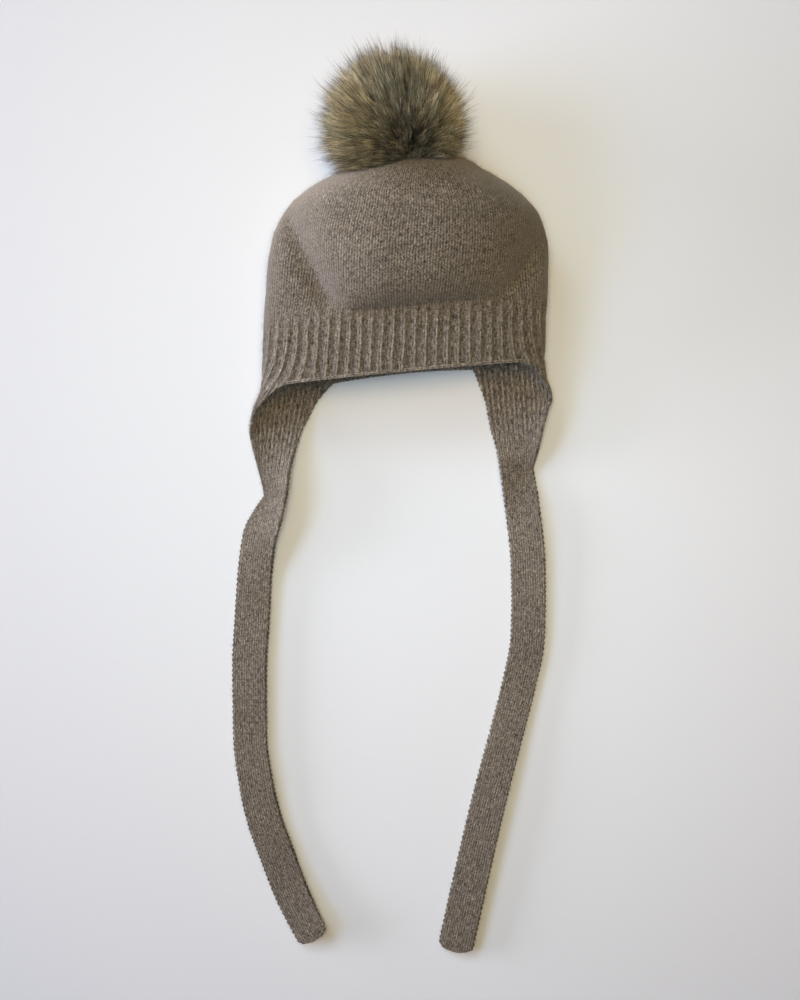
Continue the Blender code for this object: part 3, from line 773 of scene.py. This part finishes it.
def flap_grid(side, rows, columns):
    """Rows of the flap's outer face, from the hem to the tie, and the wale count at each point."""
    profile, fold_x, inwards = hem_profile(side)
    hem_y = along(-1) + askew(fold_x, along(-1))
    grid, wales = [], []
    for share in np.linspace(0, 1, rows):
        row = read(FLAPS[side], share)
        first = -row["front"] * FLAP_FRONT_REACH
        last = row["back"] * FLAP_BACK_REACH
        walked = np.linspace(first, last, columns)
        inward = np.interp(walked, profile[:, 0], profile[:, 1])
        height = np.interp(walked, profile[:, 0], profile[:, 2]) * row["height"]
        on_plane = clamp(walked / FLAP_BACK_REACH / row["back"])
        canted = sin(pi * clamp((share - FLAP_CANT_FROM) / (1 - FLAP_CANT_FROM)))
        cant = FLAP_CANT[side] * canted
        height = height + cant * (1 - on_plane) + max(0, row["lift"] * FLAP_LENGTH - cant / 2) * on_plane**2
        x = fold_x + inwards * (inward - row["outward"] * FLAP_LENGTH)
        y = hem_y - FLAP_LENGTH * share + ASKEW * (x - fold_x) * (1 - share)
        grid.append(np.stack((x, y, height), axis=1))
        straight = (walked - row["outward"] * FLAP_LENGTH) * (1 + FLAP_FAN[side] * share)
        wales.append(straight / FLAP_WALE)
    return np.array(grid), np.array(wales)


def make_flap(side, knit):
    grid, u = flap_grid(side, FLAP_ROWS, FLAP_COLUMNS)
    sign = 1 if side == "left" else -1
    outward = open_normals(grid, sign)
    shares = np.linspace(0, 1, FLAP_ROWS)
    lengths = FLAP_LENGTH * shares
    v = np.broadcast_to(-(lengths / FLAP_COURSE)[:, None], u.shape)
    ribbing = 1 - clamp((shares - FLAP_PLAIN_FROM) / FLAP_PLAIN_OVER)
    name = f"flap_{side}_knit"
    # Painted light: the flap is painted brighter towards its tie
    mesh = strip_mesh(name, grid, outward, FLAP_WALL, u, v, ribbing, lengths, (1, PAINTED_LIGHT_AT_JOIN))
    made = add_piece(name, mesh, knit, ["ear_flap_" + side])
    return made


def tie_grid(side, rows, columns):
    """Rows of the tie's underside, from the flap to the free end, and the length down to each."""
    flap_rows, wales = flap_grid(side, 2, columns)
    flap_end = flap_rows[-1]
    start = (flap_end[0] + flap_end[-1]) / 2
    fine = np.linspace(0, 1, FINE_STEPS)
    path = read(TIES[side], fine)
    x = start[0] + path["across"] * TIE_LENGTH
    y = start[1] - path["down"] * TIE_LENGTH
    heading = np.unwrap(np.arctan2(np.gradient(y), np.gradient(x)))
    square = clamp(fine / TIE_SQUARE_SHARE)
    heading = -pi / 2 + (heading + pi / 2) * square
    shares = np.linspace(0, 1, rows)
    at = {name: np.interp(shares, fine, values)[:, None] for name, values in path.items()}
    angle = (np.interp(shares, fine, heading) + pi / 2)[:, None]
    over = np.linspace(0, 1, columns)
    lift = at["left_lift"] + (at["right_lift"] - at["left_lift"]) * over
    near_end = clamp(1 - (1 - shares) * TIE_LENGTH / TIE_END_ROUNDING)[:, None]
    offset = (over - 0.5) * at["width"] * TIE_WIDTH * (1 - TIE_END_NARROWER * near_end**2)
    centre_x, centre_y = (np.interp(shares, fine, line)[:, None] for line in (x, y))
    bulge = TIE_END_BULGE * near_end * (1 - (2 * over - 1) ** 2)
    x = centre_x + offset * np.cos(angle) + bulge * np.sin(angle)
    y = centre_y + offset * np.sin(angle) - bulge * np.cos(angle)
    grid = np.stack((x, y, lift * TIE_LENGTH), axis=2)
    order = 1 if side == "left" else -1
    joined = clamp(1 - shares / TIE_JOINED_SHARE)[:, None]
    joined = joined * joined * (3 - 2 * joined)
    grid = grid + joined[..., None] * (flap_end[::order] - grid[0])
    u = order * offset / TIE_WALE + 0.5
    jump = wales[-1][::order] - u[0]
    u = u + joined * (jump - np.round(jump.mean()))
    return grid, shares * TIE_LENGTH, u


def make_tie(side, knit):
    grid, lengths, u = tie_grid(side, TIE_ROWS, TIE_COLUMNS)
    outward = open_normals(grid, 1)
    v = np.broadcast_to(-(FLAP_LENGTH / FLAP_COURSE + lengths / TIE_COURSE)[:, None], u.shape)
    name = f"tie_{side}_knit"
    plain = np.zeros(len(lengths))
    walked = lengths + FLAP_LENGTH
    # Painted light by the flap, fading to painted shade at the tie's free end
    mesh = strip_mesh(name, grid, outward, TIE_WALL, u, v, plain, walked, (PAINTED_LIGHT_AT_JOIN, PAINTED_SHADE_AT_TIE_END))
    made = add_piece(name, mesh, knit, ["tie_" + side])
    return made


class Nodes:
    """Short calls that build a material's nodes."""

    def __init__(self, name):
        self.material = bpy.data.materials.new(name)
        self.material.use_nodes = True
        self.tree = self.material.node_tree
        self.shader = self.tree.nodes["Principled BSDF"]

    def put(self, socket, value):
        if isinstance(value, bpy.types.NodeSocket):
            self.tree.links.new(value, socket)
        else:
            socket.default_value = value

    def add(self, kind, inputs=(), output=0, **settings):
        node = self.tree.nodes.new(kind)
        for name, value in settings.items():
            setattr(node, name, value)
        for name, value in dict(inputs).items():
            self.put(node.inputs[name], value)
        return node.outputs[output]

    def calc(self, operation, *values):
        return self.add("ShaderNodeMath", dict(enumerate(values)), operation=operation)

    def times(self, first, second):
        return self.calc("MULTIPLY", first, second)

    def scaled(self, value, factor, more):
        return self.calc("MULTIPLY_ADD", value, factor, more)

    def minus(self, first, second):
        return self.calc("SUBTRACT", first, second)

    def place(self, x, y):
        return self.add("ShaderNodeCombineXYZ", {0: x, 1: y})

    def grey(self, level):
        return self.add("ShaderNodeCombineColor", {0: level, 1: level, 2: level})

    def kept(self, name):
        """The three numbers that the mesh keeps under a name."""
        numbers = self.add("ShaderNodeAttribute", output=1, attribute_name=name)
        return self.add("ShaderNodeSeparateXYZ", {0: numbers}).node.outputs

    def noise(self, place, scale, detail):
        inputs = {"Vector": place, "Scale": scale, "Detail": detail}
        return self.add("ShaderNodeTexNoise", inputs)

    def mix(self, factor, first, second, blend="MIX"):
        inputs = {0: factor, 6: first, 7: second}
        return self.add("ShaderNodeMix", inputs, 2, data_type="RGBA", blend_type=blend)

    def ramp(self, value, stops):
        """Colour between stops of (place, colour)."""
        ramped = self.add("ShaderNodeValToRGB", {0: value})
        elements = ramped.node.color_ramp.elements
        while len(elements) < len(stops):
            elements.new(1)
        for element, (place, colour) in zip(elements, stops):
            element.position = place
            element.color = (*colour, 1)
        return ramped

    def finished(self, sockets):
        """The material, with each named socket of its shader set or linked."""
        for name, value in sockets.items():
            self.put(self.shader.inputs[name], value)
        return self.material


def stitch_nodes(n, ribs, ribbing):
    """Stitch height as the meshes have it, a random number for each stitch, and streaks along the wales."""
    counts = n.add("ShaderNodeSeparateXYZ", {0: n.add("ShaderNodeUVMap", uv_map="stitches")})
    u, v = counts.node.outputs[0], counts.node.outputs[1]
    yarn_place = n.place(n.times(u, STREAKS_TO_A_WALE), n.times(v, STREAKS_TO_A_COURSE))
    side = n.calc("ABSOLUTE", n.minus(n.calc("FRACT", u), 0.5))
    twice = n.scaled(side, 4, -1)
    across = n.scaled(n.times(twice, twice), -0.88, 1)
    leg = n.minus(v, n.times(side, 2 * LEG_SLOPE))
    strand = n.calc("SINE", n.times(n.calc("FRACT", leg), pi))
    plain = n.times(across, n.scaled(strand, 0.55, 0.45))

    off = n.minus(n.calc("FRACT", n.times(u, ribs["per_wale"])), 0.5)
    strands = []
    for middle, strength in ((0, 1), (ribs["apart"], ribs["second"])):
        spread = n.calc("DIVIDE", n.minus(off, middle), ribs["ridge"])
        bell = n.calc("EXPONENT", n.times(n.times(spread, spread), -1))
        strands.append(n.times(bell, strength))
    ridge = n.calc("MAXIMUM", *strands)
    beat = n.minus(v, n.times(n.calc("ABSOLUTE", off), LEG_SLOPE))
    beat = n.calc("SINE", n.times(n.calc("FRACT", beat), pi))
    ribbed = n.scaled(ridge, n.scaled(beat, 0.20, 0.42), 0.33)
    height = n.scaled(n.minus(ribbed, plain), ribbing, plain)
    cell = n.place(n.calc("FLOOR", n.times(u, 2)), n.calc("FLOOR", leg))
    stitch = n.add("ShaderNodeTexWhiteNoise", {"Vector": cell}, noise_dimensions="2D")
    return height, stitch, n.noise(yarn_place, 1, 2)


def knit_material(name, ribs, contrast, streaky, blotchy):
    """Brushed, marled wool: painted shade in the gaps between stitches, pale flecks on them, a soft nap, and
    painted light and shade from the mesh's cloth numbers.

    contrast scales its speckle, streaky is how much of that runs along the wales, and blotchy is how
    strong its larger patches are.
    """
    n = Nodes(name)
    ribbing, nap, painted_light_and_shade = n.kept("cloth")
    height, stitch, streaks = stitch_nodes(n, ribs, ribbing)
    place = n.add("ShaderNodeTexCoord", output=3)
    fibres = n.noise(place, FIBRE_SCALE, 3)
    flecks = n.noise(place, FLECK_SCALE, 2)
    patches = n.noise(place, PATCH_SCALE, 2)

    crisp = n.scaled(nap, -0.80 * contrast, contrast)
    crisp = n.times(crisp, n.scaled(ribbing, 0.06, 1))
    clear = n.scaled(nap, -0.25, 1)
    lifted = n.scaled(n.minus(height, MIDDLE_HEIGHT), clear, MIDDLE_HEIGHT)
    marl = n.scaled(n.minus(fibres, 0.5), n.times(crisp, 1.5), 0.28)
    # Painted shade: the deeper a place lies between the stitches, the darker its colour
    body = n.ramp(n.scaled(lifted, 0.60, marl), YARN_STOPS_WITH_GAP_SHADE)
    lengthways = n.scaled(ribbing, 0.30, streaky)
    marks = n.scaled(n.minus(streaks, flecks), lengthways, flecks)
    speck = n.scaled(stitch, 0.3, -0.15)
    speck = n.scaled(n.minus(marks, 0.5), FLECK_STRENGTH, speck)
    speck = n.scaled(speck, crisp, 1)
    mottle = n.scaled(patches, blotchy, 1 - blotchy / 2)
    # Painted light and shade, kept with the mesh, scales the colour
    level = n.times(n.times(n.calc("MAXIMUM", speck, 0.25), mottle), painted_light_and_shade)
    colour = n.mix(1.0, body, n.grey(level), "MULTIPLY")
    relief = n.scaled(n.times(fibres, crisp), 0.8, n.times(lifted, 0.9))
    bump = n.add("ShaderNodeBump", {"Strength": 0.6, "Distance": 0.0006, "Height": relief})
    return n.finished({"Base Color": colour, "Normal": bump, **WOOL})


def fuzz_material():
    """Single pale fibres that stand off the brushed wool."""
    finish = {"Base Color": (*FUZZ_COLOUR, 1), "Roughness": 0.8, "Specular IOR Level": 0.1}
    return Nodes("knit_fuzz").finished(finish)


def fur_material():
    """Fur whose colour runs from a dark root by tan to a dark tip."""
    n = Nodes("pompom_fur")
    reach, shade, warmth = n.kept("hair")
    colour = n.mix(1.0, n.ramp(reach, FUR_STOPS), n.grey(shade), "MULTIPLY")
    hue = n.mix(warmth, (*FUR_GREY, 1), (*FUR_GOLDEN, 1))
    colour = n.mix(1.0, colour, hue, "MULTIPLY")
    return n.finished({"Base Color": colour, "Roughness": 0.55, "Specular IOR Level": 0.30})


def underfur_material():
    n = Nodes("pompom_underfur")
    place = n.add("ShaderNodeTexCoord", output=3)
    tufts = n.noise(place, UNDERFUR_SCALE, 4)
    colour = n.ramp(tufts, UNDERFUR_STOPS)
    bump = n.add("ShaderNodeBump", {"Strength": 1.0, "Distance": 0.001, "Height": tufts})
    return n.finished({"Base Color": colour, "Roughness": 0.9, "Normal": bump})


def pompom_centre():
    slope = np.array(POMPOM_SLOPE) / np.linalg.norm(POMPOM_SLOPE)
    return gather_point() + slope * POMPOM_STANDS_OFF + np.array((-POMPOM_SET_LEFT, 0, 0))


# Fur: where the hairs spring from, how they spread, bend and lie, and how many there are in each piece
FUR_ROOT_SHIFT = (0.0070, -0.0100, -0.0030)
CORE_SHARE = 0.46
HAIRS_PER_PIECE = 24500
FUR_PIECES = 2
UNDERFUR_BUMPS = 0.06
UNDERFUR_LOWEST = 0.002
UNDERFUR_SCALE = 260
TUFTS = 2600
TUFT_REACH_SPREAD = 0.05
TUFT_LEAN = 0.07
ROOT_SPREAD = 0.06
TIP_SPREAD = 0.028
HAIR_PLACES = np.linspace(0, 1, 5)
HAIR_TAPER = np.array((1.0, 1.0, 0.85, 0.55))
HAIR_WIDTH = 0.00034
HAIR_CURL = 0.0016
HAIR_DROOP = 0.0015
HAIR_LIES_AT = 0.0006
HAIR_LIES_OVER = 0.0015
HAIR_OFF_CROWN = 0.001
HAIR_TOO_NEAR = 0.0008
HAIR_LENGTH_SPREAD = 0.12
GUARD_HAIR_SHARE = 0.14
GUARD_HAIR_REACH = 1.16
GUARD_HAIR_SHADE = 0.25
FUR_REACH = 1.045

# The fur has a greyer, darker fan: its middle way, its edge as a cosine, and how much darker it is
FAN_WAY = (-0.06, 0.42, 0.90)
FAN_EDGE = 0.87
FAN_DARKER = 0.22

# Tufts that point up are darker too
UPWARD_DARKER = 0.29

# The crest of the crown, which holds the fur back: places across the hat and along it
CREST_ACROSS = (-0.055, -0.024, -0.009, 0.003, 0.021, 0.033, 0.045)
CREST_ALONG = (0.0375, 0.0405, 0.0440, 0.0480, 0.0480, 0.0465, 0.0430)
CREST_GIVE = 0.005

# Fuzz: how many fibres, how long and how wide, and from which height on
FUZZ_FIBRES = {"crown": 34000, "brim": 20000, "flap": 9000, "tie": 16000}
FUZZ_LENGTH = 0.0026
FUZZ_WIDTH = 0.00013
FUZZ_ONLY_ABOVE = 0.0015
FUZZ_SPREAD = 0.55


def behind_crest(points):
    """Presses hair that would hang over the crown's front back to its crest."""
    edge = np.interp(points[..., 0], CREST_ACROSS, CREST_ALONG) + CREST_GIVE
    short = np.clip(edge - points[..., 1], 0, None)
    pressed = edge - CREST_GIVE * (1 - np.exp(-short / CREST_GIVE))
    points[..., 1] = np.where(short > 0, pressed, points[..., 1])
    return points


def off_the_crown(points, crown):
    """Moves hair points that lie inside the crown out to its surface."""
    tree = BVHTree.FromPolygons(
        [vertex.co[:] for vertex in crown.data.vertices], [face.vertices[:] for face in crown.data.polygons]
    )
    low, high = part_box("crown")
    near = np.nonzero((points[:, 1] < high.y + 0.002) & (points[:, 2] < high.z))[0]
    for index in near:
        where = Vector(points[index])
        surface, normal, _, _ = tree.find_nearest(where)
        if (where - surface).dot(normal) < HAIR_TOO_NEAR:
            points[index] = surface + normal * HAIR_OFF_CROWN
    return points


def fur_tufts():
    """Where the tufts point, how far they reach, which way they lean, their shades, with painted shade on
    those that point towards the crown, and their warmth.
    """
    rng = np.random.default_rng(39)
    ways = unit(rng.normal(size=(TUFTS, 3)))
    reach = FUR_REACH * (1 + TUFT_REACH_SPREAD * rng.normal(size=TUFTS))
    lean = rng.normal(size=(TUFTS, 3)) * TUFT_LEAN
    shade = 0.42 + 1.05 * rng.random(TUFTS) ** 1.2
    # Painted shade: tufts that point down towards the crown's crest are darker
    shade = shade * (1 - 0.5 * np.clip(-ways[:, 1], 0, 0.5))
    in_fan = clamp((ways @ unit(np.array(FAN_WAY)) - FAN_EDGE) / (1 - FAN_EDGE)) ** 0.5
    shade = shade * (1.21 - FAN_DARKER * in_fan - UPWARD_DARKER * clamp(ways[:, 2]))
    return ways, reach, lean, shade, rng.random(TUFTS) * (1 - in_fan)


def fur_lines(rng, ways, leans, reach, crown):
    """Points along each hair, from the ball under the fur to its tip, and which are guard hairs."""
    count = len(ways)
    start = unit(ways + rng.normal(size=(count, 3)) * ROOT_SPREAD)
    end = unit(ways + leans + rng.normal(size=(count, 3)) * TIP_SPREAD)
    reach = reach * (1 - HAIR_LENGTH_SPREAD * rng.random(count) ** 1.5)
    guard = rng.random(count) < GUARD_HAIR_SHARE
    reach = np.where(guard, reach * (1 + (GUARD_HAIR_REACH - 1) * rng.random(count)), reach * 0.97)

    foot = pompom_centre() + np.array(FUR_ROOT_SHIFT) + start * CORE_SHARE * POMPOM_RADIUS * 0.9
    tip = pompom_centre() + end * (POMPOM_RADIUS * reach)[:, None]
    curl = rng.normal(size=(count, 3)) * HAIR_CURL
    lines = [foot + (tip - foot) * t + curl * sin(pi * t) for t in HAIR_PLACES]
    lines = behind_crest(np.stack(lines, axis=1))
    lines[..., 2] -= HAIR_DROOP * HAIR_PLACES**2
    flat = lines.reshape(-1, 3)
    lying = HAIR_LIES_AT + HAIR_LIES_OVER * rng.random(len(flat))
    flat[:, 2] = np.where(flat[:, 2] < HAIR_LIES_AT, lying, flat[:, 2])
    return lift_clear(off_the_crown(flat, crown)).reshape(lines.shape), guard


def ribbons(lines, rng):
    """Points and faces of thin tapering ribbons along lines."""
    count = len(lines)
    side = unit(np.cross(unit(lines[:, -1] - lines[:, 0]), rng.normal(size=(count, 3))))
    width = HAIR_WIDTH * (0.7 + 0.6 * rng.random(count))
    offset = side[:, None] * (width[:, None] * HAIR_TAPER)[..., None] / 2
    body = lines[:, :-1]
    pairs = np.stack((body - offset, body + offset), axis=2).reshape(count, -1, 3)
    points = np.concatenate((pairs, lines[:, -1:]), axis=1)
    last = points.shape[1] - 1
    corners = [(k, k + 1, k + 3, k + 2) for k in range(0, last - 2, 2)] + [(last - 2, last - 1, last)]
    base = (np.arange(count) * (last + 1))[:, None]
    return points, [face for part in corners for face in (base + np.array(part)).tolist()]


def make_fur(number, material, crown):
    """Hairs as thin tapering ribbons, drawn together into tufts."""
    rng = np.random.default_rng(40 + number)
    ways, reach, leans, shades, warmth = fur_tufts()
    count = HAIRS_PER_PIECE
    tuft = rng.integers(0, TUFTS, count)
    lines, guard = fur_lines(rng, ways[tuft], leans[tuft], reach[tuft], crown)
    points, faces = ribbons(lines, rng)
    name = f"pompom_fur_{number}"
    mesh = bpy.data.meshes.new(name)
    mesh.from_pydata(points.reshape(-1, 3).tolist(), [], faces)

    out = np.linalg.norm(points - pompom_centre(), axis=2) / POMPOM_RADIUS
    own = np.concatenate((np.repeat(HAIR_PLACES[:-1], 2), HAIR_PLACES[-1:]))
    reached = clamp(0.70 * own + 0.30 * out)
    reached[:, -1] = 1
    shade = shades[tuft] * (0.80 + 0.4 * rng.random(count))
    shade = np.where(guard, GUARD_HAIR_SHADE * shade, shade)
    keep_numbers(mesh, "hair", point_numbers(reached.shape, reached, shade[:, None], warmth[tuft][:, None]))
    return add_piece(name, mesh, material)


def make_underfur(material):
    """The dark ball that the hairs spring from."""
    shape = bmesh.new()
    bmesh.ops.create_icosphere(shape, subdivisions=5, radius=1)
    centre = Vector(pompom_centre() + np.array(FUR_ROOT_SHIFT))
    x, y, z = np.array([vertex.co for vertex in shape.verts]).T
    bumps = ripple(x + 3 * z, y - 2 * z, 0.25, 31)
    for vertex, bump in zip(shape.verts, bumps):
        place = centre + vertex.co * CORE_SHARE * POMPOM_RADIUS * (1 + UNDERFUR_BUMPS * bump)
        place.z = max(place.z, UNDERFUR_LOWEST)
        vertex.co = place
    mesh = bpy.data.meshes.new("pompom_underfur")
    shape.to_mesh(mesh)
    shape.free()
    return add_piece("pompom_underfur", mesh, material, ["pompom"])


def make_fuzz(name, pieces, material, seed):
    """Short single fibres on the cloth, each one thin triangle."""
    rng = np.random.default_rng(seed)
    fibres = []
    for piece, count in pieces:
        mesh = piece.data
        mesh.calc_loop_triangles()
        corners = numbers_of(mesh.loop_triangles, "vertices", 3, int)
        triangles = numbers_of(mesh.vertices, "co", 3, float)[corners]
        across = np.cross(triangles[:, 1] - triangles[:, 0], triangles[:, 2] - triangles[:, 0])
        size = np.linalg.norm(across, axis=1)
        size = np.where(triangles[..., 2].mean(axis=1) > FUZZ_ONLY_ABOVE, size, 0)
        picked = rng.choice(len(size), count, p=size / size.sum())
        weights = rng.dirichlet((1, 1, 1), count)
        foot = (triangles[picked] * weights[..., None]).sum(axis=1)
        normal = unit(across[picked])
        raised = normal * (0.25 + 0.75 * rng.random((count, 1)))
        way = unit(raised + rng.normal(size=(count, 3)) * FUZZ_SPREAD)
        way = way - normal * np.minimum((way * normal).sum(axis=1, keepdims=True) - 0.1, 0)
        tip = foot + way * (FUZZ_LENGTH * (0.4 + rng.random((count, 1))))
        side = unit(np.cross(way, rng.normal(size=(count, 3)))) * FUZZ_WIDTH / 2
        fibres.append(np.stack((foot - side, foot + side, tip), axis=1))
    points = lift_clear(np.concatenate(fibres).reshape(-1, 3))
    mesh = bpy.data.meshes.new(name)
    mesh.from_pydata(points.tolist(), [], np.arange(len(points)).reshape(-1, 3).tolist())
    return add_piece(name, mesh, material)


def make_camera():
    data = bpy.data.cameras.new("camera")
    data.sensor_fit = "VERTICAL"
    data.sensor_height = SENSOR
    data.lens = SENSOR / 2 * CAMERA_PLACE[2] / FRAME_HALF_HEIGHT
    data.clip_start = 0.01
    camera = add_object("camera", data)
    camera.location = CAMERA_PLACE
    bpy.context.scene.camera = camera


def make_floor():
    bpy.ops.mesh.primitive_plane_add(size=FLOOR_SIZE)
    floor = bpy.context.object
    floor.name = "floor"
    finish = {"Base Color": (*FLOOR, 1), "Roughness": 0.7, "Specular IOR Level": 0.2}
    floor.data.materials.append(Nodes("floor").finished(finish))


# Lights: place, width and height, how far their beams spread in degrees, watts of red, green and blue
LIGHTS_AIM = (0, -0.08, 0)
LIGHTS = {
    "ceiling": ((-0.02, -0.20, 0.80), (0.30, 0.30), 90, (0.24, 0.38, 0.52)),
    "warm_ceiling": ((0.03, 0.02, 1.30), (0.90, 0.90), 90, (3.1, 2.3, 1.05)),
    "window": ((-4.15, 0.06, 2.40), (3.60, 1.20), 180, (44, 61, 111)),
    "low_window": ((-4.75, 0.08, 0.67), (3.20, 0.70), 180, (232, 236, 285)),
    "far_window": ((-2.38, 3.33, 2.40), (2.40, 1.60), 180, (74, 90, 111)),
}
ROOM = (0.020, 0.019, 0.017)


def add_light(name, place, size, spread, watts):
    data = bpy.data.lights.new(name, "AREA")
    data.shape = "RECTANGLE"
    data.size, data.size_y = size
    data.spread = radians(spread)
    data.energy = max(watts)
    data.color = [share / max(watts) for share in watts]
    light = add_object(name, data)
    light.location = place
    light.rotation_euler = (Vector(LIGHTS_AIM) - Vector(place)).to_track_quat("-Z", "Y").to_euler()


def make_lights():
    """Cool windows to the left, most of their light low, and softer light from over the table."""
    for name, (place, size, spread, watts) in LIGHTS.items():
        add_light(name, place, size, spread, watts)
    world = bpy.data.worlds.new("room")
    bpy.context.scene.world = world
    world.use_nodes = True
    background = world.node_tree.nodes["Background"]
    background.inputs[0].default_value = (*ROOM, 1)
    background.inputs[1].default_value = 1


make_camera()
bpy.context.scene.view_settings.view_transform = "Standard"
make_floor()
make_lights()
hat_knit = knit_material("hat_knit", BRIM_RIBS, 1.0, 0.45, 0.30)
crown_knit = make_crown(hat_knit)
brim_knit = make_brim(hat_knit)
hem_front, hem_nape = half_rings(-1)
make_hem_chain("hem_chain_front", hem_front, FLAP_FRONT_REACH - CHAIN_OVERLAP, hat_knit)
make_hem_chain("hem_chain_nape", nape_arch(hem_nape, -1), FLAP_BACK_REACH - CHAIN_OVERLAP, hat_knit)
strip_knit = knit_material("strip_knit", FLAP_RIBS, 1.15, 0.62, 0.44)
flaps = [make_flap(side, strip_knit) for side in ("left", "right")]
ties = [make_tie(side, strip_knit) for side in ("left", "right")]
fuzz = fuzz_material()
hat = [(crown_knit, FUZZ_FIBRES["crown"]), (brim_knit, FUZZ_FIBRES["brim"])]
make_fuzz("hat_fuzz", hat, fuzz, 51)
strips = [(flap, FUZZ_FIBRES["flap"]) for flap in flaps] + [(tie, FUZZ_FIBRES["tie"]) for tie in ties]
make_fuzz("strip_fuzz", strips, fuzz, 52)
make_underfur(underfur_material())
fur = fur_material()
for number in range(1, FUR_PIECES + 1):
    make_fur(number, fur, crown_knit)
